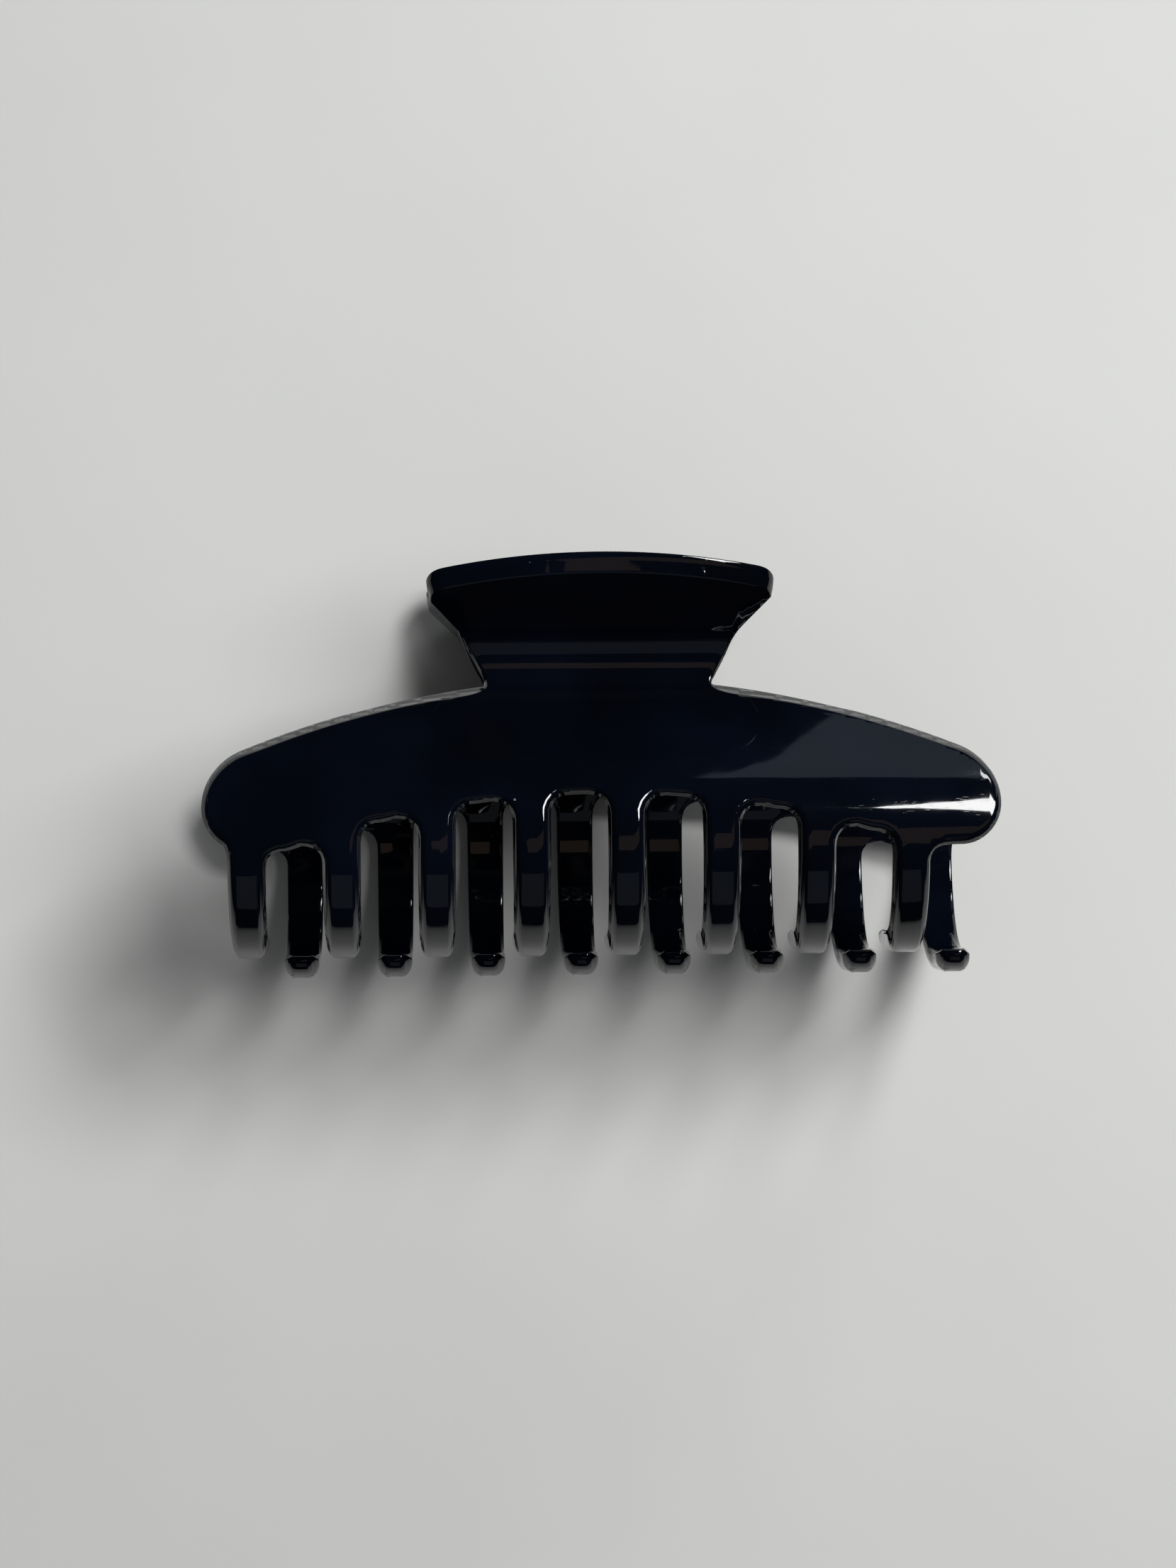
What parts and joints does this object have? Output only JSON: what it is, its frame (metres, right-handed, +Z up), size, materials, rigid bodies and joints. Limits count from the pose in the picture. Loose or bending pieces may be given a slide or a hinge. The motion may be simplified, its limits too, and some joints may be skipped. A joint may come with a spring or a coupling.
{
  "type": "claw clip",
  "caption": "Large hair claw clip: two curved black jaws with interleaving teeth and flared thumb tabs, hinged on a pin with a torsion spring.",
  "frame": {"origin": "middle of the closed clip's footprint, on the surface that the rear jaw rests on", "axes": "+X along the clip and its hinge pin, +Y from the teeth towards the thumb tabs, +Z up through the front jaw"},
  "size_m": [0.109, 0.0578, 0.048],
  "materials": {
    "jaw_plastic": "polished injection-moulded black with a faint navy tint",
    "pin_steel": "bright nickel-plated steel",
    "spring_steel": "drawn spring wire"
  },
  "bodies": {
    "rear_half": {"rear_jaw": "jaw_plastic", "hinge_pin": "pin_steel", "torsion_spring": "spring_steel"},
    "front_half": {"front_jaw": "jaw_plastic"}
  },
  "joints": [
    {"name": "clip_opening", "type": "hinge", "parent": "rear_half", "child": "front_half", "pos_m": [0, 0.01106, 0.024], "axis": [-1, 0, 0], "range_deg": [0, 80], "stiffness_Nm_per_rad": 0.18, "springref_deg": -45.84, "deforming": ["torsion_spring"]}
  ]
}
